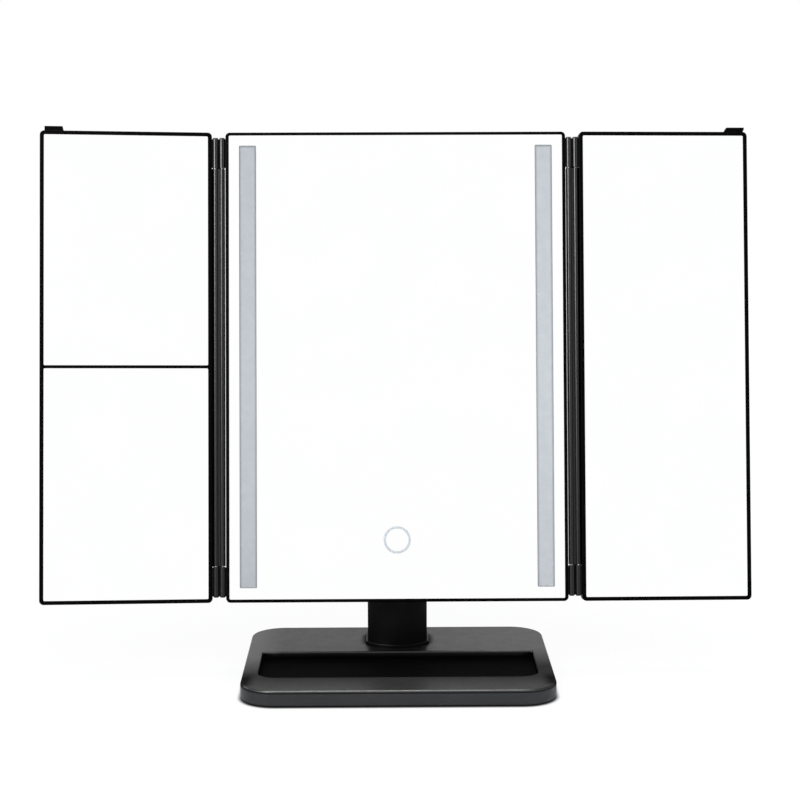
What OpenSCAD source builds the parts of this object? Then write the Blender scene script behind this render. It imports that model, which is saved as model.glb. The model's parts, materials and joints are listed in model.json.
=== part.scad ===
// Trifold vanity mirror on a tray base.
//
// World frame: X to the viewer's right, Y away from the viewer, Z up. The origin is the middle of
// the base's underside. The three panels are drawn lying flat, as in an assembly jig: x across,
// y up the panel from its lower edge, z out of the mirror's face, with the front of the frame at
// z = 0. on_panel() then stands them up, and wing_place() hangs a wing on its hinge.

/* [Panels] */
// Width of the middle panel
center_w = 170; // [150:1:200]
// Width of each wing
wing_w = 84.8; // [60:0.2:100]
// Height of all three panels
panel_h = 234.4; // [215:0.2:280]
// Thickness of the middle panel
center_t = 12; // [11.5:0.5:16]
// Thickness of a wing
wing_t = 8; // [7.5:0.5:12]
// Corner radius of the panels' outlines
corner_r = 2.2; // [2:0.1:6]
// Wall of the panels' casings
case_wall = 1.6; // [1.2:0.1:2.4]
// Depth of the middle panel's front frame
center_split = 5; // [4.8:0.1:6]
// Depth of a wing's front frame
wing_split = 4.2; // [4:0.1:5]

/* [Mirror panes] */
// Visible frame beside the middle pane
center_rim_side = 1.6; // [1.2:0.1:6]
// Visible frame above the middle pane
center_rim_top = 1.4; // [1:0.1:6]
// Visible frame below the middle pane
center_rim_low = 1.5; // [1:0.1:6]
// Visible frame beside a wing's pane
wing_rim_side = 1.95; // [1.2:0.05:6]
// Visible frame above and below a wing's pane
wing_rim_end = 1.85; // [1.2:0.05:6]
// Bar between the left wing's two panes
divider_w = 1.35; // [1:0.05:4]
// How far the panes lie below the frame's front
pane_sink = 0.4; // [0.2:0.1:1]
// Thickness of the middle pane
center_pane_t = 2; // [1.5:0.1:2.4]
// Thickness of a wing's pane
wing_pane_t = 1.5; // [1:0.1:2]
// Ledge that carries a pane
ledge_w = 3.4; // [2.5:0.1:4.5]

/* [Lights and touch ring] */
// Width of a light strip
strip_w = 8.5; // [6:0.1:12]
// Panel's side to the light strip
strip_side = 6.8; // [6:0.1:14]
// Panel's top to the light strip
strip_top = 6.6; // [6:0.1:20]
// Panel's lower edge to the light strip
strip_low = 7.2; // [6.5:0.1:20]
// Light chips on each board
chip_count = 11; // [4:1:20]
// Outer diameter of the touch ring
ring_d = 13.6; // [10:0.1:15]
// Width of the touch ring's line
ring_line = 1.2; // [0.6:0.1:2]
// Height of the touch ring's middle above the panel's lower edge
ring_up = 30.7; // [24:0.1:60]

/* [Hinges] */
// Distance between a hinge's two pins
link = 3.3; // [3.2:0.1:5]
// Each pin's distance from its panel's edge
pin_in = 1.75; // [1.7:0.05:2.5]
// Depth of the pins behind the panels' fronts
pin_depth = 1.5; // [1.45:0.05:1.55]
// Radius of a hinge barrel
barrel_r = 1.45; // [1.3:0.05:1.5]
// Length of a hinge barrel
barrel_len = 15.3; // [10:0.1:30]
// Panel's end to the hinge barrel
barrel_inset = 2.5; // [1:0.1:8]
// Radius of a hinge pin
pin_r = 0.6; // [0.5:0.05:0.7]
// Radius of the ribs on a hinge's spine bar
spine_rib_r = 1.2; // [1:0.05:1.25]
// Depth of the spine bar behind its pins
spine_back = 3.4; // [2:0.1:4]
// Left wing swung forward of the middle panel, at rest
left_forward = 5.8; // [-2:0.1:80]
// Right wing swung forward of the middle panel, at rest
right_forward = -1.8; // [-2:0.1:80]

/* [Finger tabs] */
// Length of a finger tab
tab_len = 9.4; // [6:0.1:20]
// Height of a finger tab above the wing
tab_up = 2.2; // [1:0.1:4]
// Wing's outer edge to the finger tab
tab_in = 2.3; // [2:0.1:10]

/* [Base] */
// Width of the base
base_w = 150; // [140:1:200]
// Depth of the base
base_d = 116; // [112:1:160]
// Height of the base's deck above the table
deck_z = 8; // [7.5:0.1:12]
// Corner radius of the base
base_r = 16.7; // [10:0.1:25]
// Rounding of the deck's edge
deck_round = 0.9; // [0.5:0.1:1]
// Depth of the deck plate's rim
deck_rim = 1.2; // [1.1:0.1:2]
// Wall of the base
base_wall = 2; // [1.5:0.1:3]
// Width of the tray
tray_w = 135.4; // [90:0.2:136]
// Depth of the tray from front to back
tray_d = 45.4; // [30:0.2:46]
// Front lip before the tray
tray_front = 22.8; // [15:0.1:24]
// How deep the tray is sunk
tray_sink = 4.4; // [3:0.1:4.6]
// Corner radius of the tray in front
tray_r_front = 9.5; // [4:0.1:15]
// Corner radius of the tray behind
tray_r_back = 1.2; // [0.8:0.1:8]
// Thickness of the tray's liner
liner_t = 0.8; // [0.5:0.1:1.5]
// How far the anti-slip pad lifts the base
pad_proud = 0.6; // [0.4:0.1:1]

/* [Neck and tilt hinge] */
// Lean of the middle panel from upright, at rest
lean = 9.7; // [0:0.1:20]
// Middle panel's lower front edge above the table
panel_z = 34.9; // [33:0.1:60]
// That edge's distance behind the middle of the base
panel_y = 3.7; // [0:0.1:6]
// Width of the neck
neck_w = 30; // [24:0.5:40]
// Front of the neck behind the middle of the base
neck_y = 17.9; // [17:0.1:20]
// Depth of the neck's foot
neck_foot = 26; // [22:0.5:30]
// Radius of the neck's rounded front
neck_front_r = 19.5; // [17:0.5:40]
// Height of the collar round the neck's foot
collar_h = 1.5; // [1:0.1:3]
// How far the collar stands out
collar_out = 1; // [0.5:0.1:2]
// Wall of the neck
neck_wall = 2.4; // [2:0.1:3]
// Radius of the neck's hinge barrel
knuckle_r = 7.5; // [6:0.1:7.6]
// Height of the tilt shaft above the panel's lower edge
tilt_up = 26; // [24:0.1:30]
// Distance of the tilt shaft behind the middle panel's back
tilt_back = 8; // [7.9:0.1:12]
// Radius of the tilt shaft
shaft_r = 2.5; // [2:0.1:3]
// Thickness of each ear of the tilt bracket
ear_t = 3.6; // [2.5:0.1:5]

/* [Battery bay] */
// Height of the bay's middle above the panel's lower edge
bay_up = 100; // [80:1:150]
// Radius of a cell
cell_r = 5.25; // [5:0.05:5.4]
// Length of a cell with its button
cell_len = 44.5; // [40:0.1:46]
// Cells side by side
cell_count = 4; // [2:1:4]
// Thickness of the battery door
door_t = 1.6; // [1.2:0.1:2.2]
// Room for the contacts at each end of the cells
contact_room = 3.2; // [2:0.1:5]

/* [Hidden] */
$fn = 48;

plastic = "#17181a";
silvered = "#dfe6ea";
LEFT = -1;
RIGHT = 1;
over = 1;              // how far a cutting body reaches past what it cuts
seat = 0.1;            // gap beside a glued pane, a lip or a door
shaft_gap = 0.05;      // running clearance of a shaft or pin, on the radius
held_gap = 0.02;       // clearance of a pin that is pressed or keyed, on the radius
reveal_w = 0.5;        // shadow line where a panel's back cover meets its frame
reveal_in = 0.3;       // how far the shadow line is let in
frame_round = 0.45;    // rounding of a frame's front edge
back_round = 2;        // rounding of a back cover's edge
tape_t = 0.4;          // foam tape behind a pane
ledge_t = 1.2;         // thickness of the ledge behind a pane
lip_t = 1;             // locating lip of a back cover
rib_t = 1.2;           // stiffening rib inside a casing

// The middle panel, from the front backwards
pane_back = pane_sink + center_pane_t;
center_pocket = pane_back + tape_t;
center_floor = center_t - 1.8;
center_lip = -(center_pocket + ledge_t + seat);  // top of the back cover's lip, under the ledge

// A wing, from the front backwards
wing_pocket = pane_sink + wing_pane_t + tape_t;
wing_floor = wing_t - case_wall;
wing_lip = -(wing_pocket + ledge_t + seat);

// The hinges
barrel_gap = 0.3;                       // between a barrel and the spine bar
spine_end = barrel_inset + barrel_len + barrel_gap;
spine_len = panel_h - 2 * spine_end;
spine_tip = barrel_inset + 0.4;         // panel's end to the end of the spine's back bar
rib_clear = 0.35;                       // between a rib and the guard behind it
guard_t = 0.8;                          // guard on a wing that closes the view past the rib
guard_in = 0.35;                        // guard's edge beyond the pin, on the wing's side
guard_z = -spine_rib_r - rib_clear;     // its front, behind the pin
bar_z = -barrel_r - barrel_gap;         // front of the spine's back bar, behind the pins
pin_hold = 6;                           // length of a pin inside the spine
pin_reach = 10;                         // depth of the bore in a barrel
pin_len = pin_hold + pin_reach;
web_in = case_wall / 2;                 // how far a barrel's web is let into its frame

// The tilt hinge, in the middle panel's own frame and in the world
tilt_z = -(center_t + tilt_back);
shaft_y = panel_y + tilt_up * sin(lean) - tilt_z * cos(lean);
shaft_z = panel_z + tilt_up * cos(lean) + tilt_z * sin(lean);
washer_t = 0.3;
ear_in = neck_w / 2 + washer_t + 0.1;   // inner face of an ear
ear_out = ear_in + ear_t;
notch_w = 2 * ear_out + 3;              // notch in the casing for the neck and the bracket
notch_over = 12.5;                      // notch above the tilt shaft
notch_h = tilt_up + notch_over;
notch_z = -7.5;                         // floor of the notch
bracket_t = 2;
bracket_half = 12;                      // half height of the bracket's plate
bolt_x = 9;
bolt_y = 7;

// The battery bay
cell_pitch = 2 * cell_r + 0.3;
bay_w = cell_len + 2 * contact_room;
bay_h = cell_count * cell_pitch + 0.5;
bay_wall = 1.2;
bay_floor = pane_back + 0.6 + bay_wall;
cell_z = -(bay_floor + 0.2 + cell_r);
door_z = cell_z - cell_r - 0.2;         // inner face of the door
hump_z = door_z - door_t;               // back of the battery hump
door_w = bay_w + 3;
door_h = bay_h + 3;
hump_w = door_w + 9;
hump_h = door_h + 9;
hump_r = 6;

// The light channels
strip_x = center_w / 2 - strip_side - strip_w / 2;
strip_h = panel_h - strip_top - strip_low;
strip_y = strip_low + strip_h / 2;
board_t = 1;
chip_t = 0.8;

// Screws through the middle panel's back cover into its frame
case_screw_in = 9.5;                    // from the panel's ends
case_screw_x = strip_x - strip_w / 2 - 8;
case_boss_r = 3.2;
case_meet = center_split + 1;           // where the bosses meet

// The control board, between the notch and a screw boss
pcb_left = notch_w / 2 + 5;
pcb_w = case_screw_x - case_boss_r - 1 - pcb_left;
pcb_h = 22;
pcb_x = pcb_left + pcb_w / 2;
pcb_y = case_wall + seat + lip_t + 0.3 + pcb_h / 2;
pcb_t = 1.2;
pcb_up = 0.8;
pcb_z = -(center_floor - pcb_up - pcb_t);  // face of the board
usb_w = 7.8;
usb_t = 2.7;
usb_len = 5.8;
usb_in = 0.3;                           // mouth of the socket behind the casing's edge

// The neck's foot
neck_corner = 2.5;
collar_round = min(0.7, collar_h - 0.2);

// The base
shell_top = deck_z - deck_rim - 0.3;
shell_floor = 1.4;
pad_t = pad_proud + 0.6;
tub_wall = 1.6;
tray_z = deck_z - tray_sink;
tray_y = -base_d / 2 + tray_front + tray_d / 2;
brim_round = 0.9;                       // rounding of the tray's brim
deck_t = 2;
base_screw_x = base_w / 2 - 11;
base_screw_y = base_d / 2 - 11;
foot_screw_x = 9;
foot_screw_y = neck_y + neck_foot / 2 + 1;
pad_clear = 7.5;                        // pad's edge inside the middle of the base's screws
pad_w = 2 * (base_screw_x - pad_clear);
pad_d = 2 * (base_screw_y - pad_clear);
weight_y = tray_y + tray_d / 2 + tub_wall + 0.4;
weight_d = base_d / 2 - base_wall - 1 - weight_y;
weight_w = base_w - 2 * base_r;
weight_t = 2.6;

// ------------------------------------------------------------------ shared forms

// Rounded rectangle about the origin
module rounded(w, h, r) {
    square([w - 2 * r, h], center = true);
    square([w, h - 2 * r], center = true);
    for (x = [-1, 1], y = [-1, 1])
        translate([x * (w / 2 - r), y * (h / 2 - r)]) circle(r);
}

// What rounding takes off a square corner at the origin's upper right
module corner_cut(r) {
    if (r > 0)
        difference() {
            square(r + over);
            circle(r);
        }
}

// Section of a plate from its middle line out to x = half, from z = 0 down to -t
module half_section(half, t, front, back) {
    difference() {
        translate([0, -t]) square([half, t]);
        translate([half - front, -front]) corner_cut(front);
        translate([half - back, back - t]) mirror([0, 1]) corner_cut(back);
    }
}

// Flat plate, front face at z = 0, with rounded corners and rounded front and back edges
module plate(w, h, t, r, front = 0, back = 0) {
    for (s = [0, 180])
        rotate([0, 0, s]) {
            rotate([90, 0, 0]) linear_extrude(h - 2 * r, center = true)
                half_section(w / 2, t, front, back);
            rotate([90, 0, 90]) linear_extrude(w - 2 * r, center = true)
                half_section(h / 2, t, front, back);
        }
    for (x = [-1, 1], y = [-1, 1])
        translate([x * (w / 2 - r), y * (h / 2 - r), 0]) rotate_extrude() half_section(r, t, front, back);
}

// Plain block with rounded upright corners, from z = low up to z = high
module block(w, h, r, low, high) {
    translate([0, 0, low]) linear_extrude(high - low) rounded(w, h, r);
}

// Box given by its lowest and highest corners
module box(a, b) {
    translate(a) cube(b - a);
}

// Pan head screw along +z with the head below z = 0
module screw(head_r, head_t, shank_r, len) {
    difference() {
        translate([0, 0, -head_t]) cylinder(r = head_r, h = head_t);
        for (a = [0, 90])
            rotate(a) translate([-head_r * 0.6, -0.25, -head_t - over]) cube([head_r * 1.2, 0.5, over + 0.6]);
    }
    cylinder(r = shank_r, h = len);
}

// Stands a flat-drawn panel up, leaning back
module on_panel() {
    translate([0, panel_y, panel_z]) rotate([90 - lean, 0, 0]) children();
}

// The left side is the right side mirrored
module on_side(s) {
    mirror([s == LEFT ? 1 : 0, 0, 0]) children();
}

// Puts a spine, drawn with its inner pin at x = 0, z = 0, beside the middle panel
module spine_place(s) {
    on_panel() on_side(s) translate([center_w / 2 + pin_in, 0, -pin_depth]) children();
}

// Hangs a wing, drawn with its inner edge at x = 0, on its outer pin
module wing_place(s) {
    forward = s == LEFT ? left_forward : right_forward;
    spine_place(s) translate([link, 0, 0]) rotate([0, -forward, 0])
        translate([pin_in, 0, pin_depth]) children();
}

// ------------------------------------------------------------------ hinge barrels

// Section of a barrel's wall with a softly domed end, for turning about x = 0
module barrel_section() {
    dome = 0.7;
    difference() {
        square([barrel_r, barrel_len]);
        translate([barrel_r - dome, barrel_len - dome]) corner_cut(dome);
        translate([-over, -over]) square([pin_r + shaft_gap + over, pin_reach + over]);
    }
}

// Web of a barrel, whose end is let into the frame's side at x = -pin_in; grown by o for its seat
module barrel_web(o = 0) {
    box([-pin_in - web_in - o, 0.4 - o, -barrel_r - o], [-barrel_r * 0.4, barrel_len - 0.6 + o, -0.1 + o]);
}

// One barrel with its web, its open end at y = 0 and its domed end up
module barrel() {
    rotate([-90, 0, 0]) rotate_extrude() barrel_section();
    difference() {
        barrel_web();
        rotate([-90, 0, 0]) translate([0, 0, -over]) cylinder(r = pin_r + shaft_gap, h = pin_reach + over);
    }
}

// Both ends of one edge, drawn with the pin line at x = 0, z = 0 and a barrel's open end at y = 0
module at_barrels() {
    translate([0, panel_h - barrel_inset - barrel_len, 0]) children();
    translate([0, barrel_inset + barrel_len, 0]) mirror([0, 1, 0]) children();
}

// Both edges of the middle panel
module at_center_edges() {
    for (s = [LEFT, RIGHT])
        on_side(s) translate([center_w / 2 + pin_in, 0, -pin_depth]) children();
}

// The inner edge of a wing
module at_wing_edge() {
    translate([-pin_in, 0, -pin_depth]) mirror([1, 0, 0]) children();
}

// ------------------------------------------------------------------ panel casings

// Front frame: rim, pocket for the pane, ledge behind it and open space behind the ledge
module frame(w, depth, side, top, low, pocket) {
    hole_w = w - 2 * side;
    hole_h = panel_h - top - low;
    hole_y = low + hole_h / 2;
    r = max(corner_r - side, 0.6);
    difference() {
        translate([0, panel_h / 2, 0]) plate(w, panel_h, depth, corner_r, front = frame_round);
        translate([0, hole_y, 0]) {
            block(hole_w, hole_h, r, -pocket, over);
            block(hole_w - 2 * ledge_w, hole_h - 2 * ledge_w, 1, -depth - over, 0);
        }
        translate([0, panel_h / 2, 0])
            block(w - 2 * case_wall, panel_h - 2 * case_wall, 1, -depth - over, -pocket - ledge_t);
    }
}

// Back cover: rounded shell with a shadow line and a lip that locates it in the frame
module back_shell(w, t, split, floor_z, lip_z) {
    in_w = w - 2 * case_wall;
    in_h = panel_h - 2 * case_wall;
    translate([0, panel_h / 2, 0]) difference() {
        union() {
            translate([0, 0, -split - reveal_w])
                plate(w, panel_h, t - split - reveal_w, corner_r, back = back_round);
            block(w - 2 * reveal_in, panel_h - 2 * reveal_in, corner_r - reveal_in,
                -split - reveal_w - 0.5, -split);
            block(in_w - 2 * seat, in_h - 2 * seat, 1, -split - reveal_w, lip_z);
        }
        block(in_w - 2 * (seat + lip_t), in_h - 2 * (seat + lip_t), 1, -floor_z, over);
    }
}

// Pane for a pocket of w by h, drawn about the origin
module pane(w, h, t) {
    block(w - 2 * seat, h - 2 * seat, 0.6, -pane_sink - t, -pane_sink);
}

// Ring of foam tape on the ledge of a pocket of w by h
module tape_ring(w, h, back) {
    translate([0, 0, -back - tape_t]) linear_extrude(tape_t) difference() {
        rounded(w - 0.6, h - 0.6, 0.6);
        rounded(w - 2 * ledge_w + 0.6, h - 2 * ledge_w + 0.6, 0.6);
    }
}

// ------------------------------------------------------------------ middle panel

center_hole_w = center_w - 2 * center_rim_side;
center_hole_h = panel_h - center_rim_top - center_rim_low;
center_hole_y = center_rim_low + center_hole_h / 2;

// Screw places that hold the middle panel's two halves together
module at_center_screws() {
    for (x = [-1, 1], y = [case_screw_in, panel_h - case_screw_in])
        translate([x * case_screw_x, y, 0]) children();
}

module center_frame() {
    color(plastic) on_panel() {
        difference() {
            frame(center_w, center_split, center_rim_side, center_rim_top, center_rim_low, center_pocket);
            at_center_edges() at_barrels() barrel_web(held_gap);
        }
        frame_bosses();
    }
}

module center_barrels() {
    color("#2a2b2e") on_panel() at_center_edges() at_barrels() barrel();
}

// Screw bosses on the frame's ledge
module frame_bosses() {
    difference() {
        for (s = [0, 1])
            translate([0, s * panel_h, 0]) mirror([0, s, 0]) for (x = [-1, 1])
                translate([x * case_screw_x, 0, 0]) {
                    box([-3, 3, -center_pocket - ledge_t], [3, case_screw_in, -center_pocket]);
                    translate([0, case_screw_in, -case_meet]) cylinder(r = 3, h = case_meet - center_pocket);
                }
        at_center_screws() translate([0, 0, -case_meet - over])
            cylinder(r = 1.05, h = case_meet + over - center_pocket - 0.5);
    }
}

// Walls that keep each light strip's light to itself
module light_channels() {
    wall_low = -center_floor - 0.2;
    wall_high = -pane_back - 0.5;
    for (s = [LEFT, RIGHT], side = [-1, 1])
        on_side(s) translate([strip_x + side * (strip_w / 2 + 1), strip_y, wall_low])
            linear_extrude(wall_high - wall_low) square([1, strip_h], center = true);
}

module center_back() {
    notch_wall = 1.6;
    color(plastic) on_panel() difference() {
        union() {
            back_shell(center_w, center_t, center_split, center_floor, center_lip);
            light_channels();
            // block behind the notch, which takes the bracket's screws
            box([-notch_w / 2 - notch_wall, case_wall + 2 * seat, -center_floor - 0.2],
                [notch_w / 2 + notch_wall, notch_h + notch_wall, center_lip]);
            // battery tub and the hump that covers it
            translate([0, bay_up, 0]) {
                block(bay_w + 2 * bay_wall, bay_h + 2 * bay_wall, 1, -center_floor - 0.2,
                    -bay_floor + bay_wall);
                translate([0, 0, -center_t + 0.5])
                    plate(hump_w, hump_h, -hump_z - center_t + 0.5, hump_r, back = 3);
            }
            for (x = [-1, 1], y = [-1, 1])
                translate([pcb_x + x * (pcb_w / 2 - 3), pcb_y + y * (pcb_h / 2 - 3), -center_floor - 0.2])
                    cylinder(r = 1.8, h = pcb_up + 0.2);
            at_center_screws() translate([0, 0, -center_floor - 0.2])
                cylinder(r = case_boss_r, h = center_floor - case_meet);
        }
        // notch for the neck and the bracket, open below
        box([-notch_w / 2, -over, -center_t - over], [notch_w / 2, notch_h, notch_z]);
        for (x = [-1, 1], y = [-1, 1])
            translate([x * bolt_x, tilt_up + y * bolt_y, notch_z - over]) cylinder(r = 1.1, h = 3 + over);
        // battery bay and the door's seat
        translate([0, bay_up, 0]) {
            block(bay_w, bay_h, 1, hump_z - over, -bay_floor);
            block(door_w, door_h, 2.5, hump_z - over, door_z);
        }
        box([pcb_x - usb_w / 2 - 0.3, -over, pcb_z - 0.3], [pcb_x + usb_w / 2 + 0.3, 3, pcb_z + usb_t + 0.3]);
        at_center_screws() translate([0, 0, -center_t - over]) {
            cylinder(r = 2.5, h = 2.2 + over);
            cylinder(r = 1.2, h = 6 + over);
        }
    }
}

module center_mirror() {
    color(silvered) on_panel() difference() {
        translate([0, center_hole_y, 0]) pane(center_hole_w, center_hole_h, center_pane_t);
        for (s = [-1, 1])
            translate([s * strip_x, strip_y, 0]) block(strip_w, strip_h, 0.5, -pane_back - over, over);
        translate([0, ring_up, -pane_sink - 0.3]) difference() {
            cylinder(d = ring_d, h = over);
            translate([0, 0, -over]) cylinder(d = ring_d - 2 * ring_line, h = 3 * over);
        }
    }
}

module center_tape() {
    color("dimgray") on_panel() translate([0, center_hole_y, 0])
        tape_ring(center_hole_w, center_hole_h, pane_back);
}

module light_windows() {
    color("#dde4ea") on_panel() for (s = [-1, 1])
        translate([s * strip_x, strip_y, 0])
            block(strip_w - 0.2, strip_h - 0.2, 0.4, -pane_back, -pane_sink);
}

module touch_ring() {
    color("#d5dde4") on_panel() translate([0, ring_up, -pane_sink - 0.3]) difference() {
        cylinder(d = ring_d - 0.04, h = 0.3);
        translate([0, 0, -over]) cylinder(d = ring_d - 2 * ring_line + 0.04, h = 3 * over);
    }
}

module touch_pad() {
    color("peru") on_panel() translate([0, ring_up, -pane_back - 0.5]) cylinder(d = ring_d + 2, h = 0.5);
}

module led_boards() {
    color("whitesmoke") on_panel() for (s = [-1, 1])
        translate([s * strip_x, strip_y, 0])
            block(strip_w - 1, strip_h - 2, 0.5, -center_floor, -center_floor + board_t);
}

module led_chips() {
    pitch = strip_h / chip_count;
    color("khaki") on_panel() for (s = [-1, 1], i = [0 : chip_count - 1])
        translate([s * strip_x, strip_low + (i + 0.5) * pitch, -center_floor + board_t])
            linear_extrude(chip_t) square([2.8, 3.5], center = true);
}

module control_board() {
    color("darkgreen") on_panel() {
        translate([pcb_x, pcb_y, 0]) {
            block(pcb_w, pcb_h, 1, pcb_z - pcb_t, pcb_z);
            // controller, charger and storage capacitor
            box([-9, 1, pcb_z], [-4, 6, pcb_z + 1]);
            box([3, 2, pcb_z], [7, 5, pcb_z + 1.1]);
            translate([12, 3, pcb_z]) cylinder(r = 2, h = 2.5);
        }
    }
}

module usb_socket() {
    shell_t = 0.4;
    color("silver") on_panel() translate([pcb_x, usb_in, pcb_z]) {
        difference() {
            box([-usb_w / 2, 0, 0], [usb_w / 2, usb_len, usb_t]);
            box([-usb_w / 2 + shell_t, -over, shell_t],
                [usb_w / 2 - shell_t, usb_len - shell_t, usb_t - shell_t]);
        }
        // tongue
        box([-usb_w / 2 + 1.6, 0.7, usb_t / 2 - 0.1],
            [usb_w / 2 - 1.6, usb_len - shell_t / 2, usb_t / 2 + 0.5]);
    }
}

module center_screws() {
    seat_z = -center_t + 2.2;
    color("dimgray") on_panel() at_center_screws() translate([0, 0, seat_z])
        screw(2.3, 1.3, 1, -seat_z - center_pocket - 0.7);
}

// ------------------------------------------------------------------ batteries

module at_cells() {
    for (i = [0 : cell_count - 1])
        translate([0, bay_up + (i - (cell_count - 1) / 2) * cell_pitch, cell_z])
            rotate([0, 0, 180 * (i % 2)]) children();
}

module batteries() {
    button = 1;
    color("steelblue") on_panel() at_cells() rotate([0, 90, 0]) {
        translate([0, 0, -cell_len / 2]) cylinder(r = cell_r, h = cell_len - button);
        translate([0, 0, cell_len / 2 - button]) cylinder(r = 1.9, h = button);
    }
}

module battery_contacts() {
    sheet = 0.4;
    color("silver") on_panel() at_cells() {
        for (x = [-bay_w / 2, bay_w / 2 - sheet])
            box([x, -4, -4.5], [x + sheet, 4, 4.5]);
        // flat contact for the button, sprung cone for the other end
        translate([cell_len / 2 + 0.1, 0, 0]) rotate([0, 90, 0])
            cylinder(r = 1.6, h = contact_room - sheet - 0.1);
        translate([-bay_w / 2 + sheet, 0, 0]) rotate([0, 90, 0])
            cylinder(r1 = 3.6, r2 = 2.4, h = contact_room - sheet - 0.1);
    }
}

module battery_door() {
    latch_w = 14;
    latch_h = 9;
    color(plastic) on_panel() translate([0, bay_up, 0]) difference() {
        block(door_w - 2 * seat, door_h - 2 * seat, 2.5 - seat, hump_z, door_z - 0.05);
        // slots that free the snap tongue, and its thumb grip
        for (s = [-1, 1])
            box([s * latch_w / 2 - 0.4, door_h / 2 - latch_h, hump_z - over],
                [s * latch_w / 2 + 0.4, door_h / 2 - 2, 0]);
        for (i = [0 : 3])
            box([-latch_w / 2 + 2, door_h / 2 - 7 + i * 1.2, hump_z - over],
                [latch_w / 2 - 2, door_h / 2 - 6.5 + i * 1.2, hump_z + 0.5]);
    }
}

// ------------------------------------------------------------------ tilt hinge

// Outline of an ear in the y-z plane: the round end, tapering to the bracket's plate
module ear_outline() {
    translate([tilt_up, tilt_z]) circle(knuckle_r);
    polygon([
        [tilt_up - knuckle_r, tilt_z], [tilt_up - bracket_half + 1, notch_z - bracket_t + 0.1],
        [tilt_up + bracket_half - 1, notch_z - bracket_t + 0.1], [tilt_up + knuckle_r, tilt_z]
    ]);
}

module tilt_bracket() {
    color("#202123") on_panel() difference() {
        union() {
            box([-ear_out, tilt_up - bracket_half, notch_z - bracket_t],
                [ear_out, tilt_up + bracket_half, notch_z]);
            for (x = [-ear_out, ear_in])
                translate([x, 0, 0]) rotate([90, 0, 90]) linear_extrude(ear_t) ear_outline();
        }
        translate([0, tilt_up, tilt_z]) rotate([0, 90, 0])
            cylinder(r = shaft_r + held_gap, h = 2 * ear_out + 2 * over, center = true);
        for (x = [-1, 1], y = [-1, 1])
            translate([x * bolt_x, tilt_up + y * bolt_y, notch_z - bracket_t - over])
                cylinder(r = 1.4, h = bracket_t + 2 * over);
    }
}

module bracket_screws() {
    color("silver") on_panel() for (x = [-1, 1], y = [-1, 1])
        translate([x * bolt_x, tilt_up + y * bolt_y, notch_z - bracket_t])
            screw(2.3, 1.2, 1, bracket_t + 2.6);
}

module tilt_shaft() {
    head = 1.4;
    color("silver") on_panel() translate([0, tilt_up, tilt_z]) rotate([0, 90, 0]) {
        translate([0, 0, -ear_out - head]) cylinder(r = 4, h = head);
        translate([0, 0, -ear_out]) cylinder(r = shaft_r, h = 2 * ear_out + 3);
    }
}

module tilt_nut() {
    color("dimgray") on_panel() translate([ear_out, tilt_up, tilt_z]) rotate([0, 90, 0]) difference() {
        cylinder(r = shaft_r * 1.8, h = 2.6, $fn = 6);
        translate([0, 0, -over]) cylinder(r = shaft_r + held_gap, h = 2.6 + 2 * over);
    }
}

module tilt_washers() {
    color("gainsboro") on_panel() for (s = [-1, 1])
        translate([s * (neck_w / 2 + 0.05 + washer_t / 2), tilt_up, tilt_z]) rotate([0, 90, 0]) difference() {
            cylinder(r = knuckle_r - 1.2, h = washer_t, center = true);
            cylinder(r = shaft_r + shaft_gap, h = washer_t + 2 * over, center = true);
        }
}

// Outline of the neck seen from above
module neck_plan() {
    intersection() {
        translate([0, neck_y + neck_foot / 2]) rounded(neck_w, neck_foot, neck_corner);
        translate([0, neck_y + neck_front_r]) circle(neck_front_r, $fn = 96);
    }
}

// Ring round the neck's foot with a rounded upper edge, its top at z = 0; it follows the neck's outline
module collar() {
    intersection() {
        translate([0, neck_y + neck_foot / 2, 0])
            plate(neck_w + 2 * collar_out, neck_foot + 2 * collar_out, collar_h, neck_corner + collar_out,
                front = collar_round);
        translate([0, neck_y + neck_front_r, 0]) rotate_extrude($fn = 96)
            half_section(neck_front_r + collar_out, collar_h, collar_round, 0);
    }
}

// Outline of the neck seen from the side: x is the world's Y
module neck_side() {
    top = shaft_z - knuckle_r * 0.3;
    polygon([
        [neck_y, deck_z], [neck_y, (deck_z + shaft_z) / 2], [shaft_y - knuckle_r * 0.95, top],
        [shaft_y, shaft_z], [shaft_y + knuckle_r * 0.95, top], [neck_y + neck_foot, deck_z]
    ]);
}

// A side outline made solid across x, from -half to half
module across(half) {
    rotate([90, 0, 90]) linear_extrude(2 * half, center = true) children();
}

neck_inner = neck_w / 2 - neck_wall;
neck_open_low = deck_z + 4;
neck_open_high = shaft_z - knuckle_r - 3;
boss_z = [neck_open_low + 5, neck_open_high - 5];

// Strip of the neck's sloping rear wall, between the two heights of the cover
module neck_rear_strip(low, high, t) {
    intersection() {
        difference() {
            neck_side();
            translate([-t, 0]) neck_side();
        }
        translate([neck_y + neck_foot / 3, low]) square([neck_foot, high - low]);
    }
}

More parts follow.
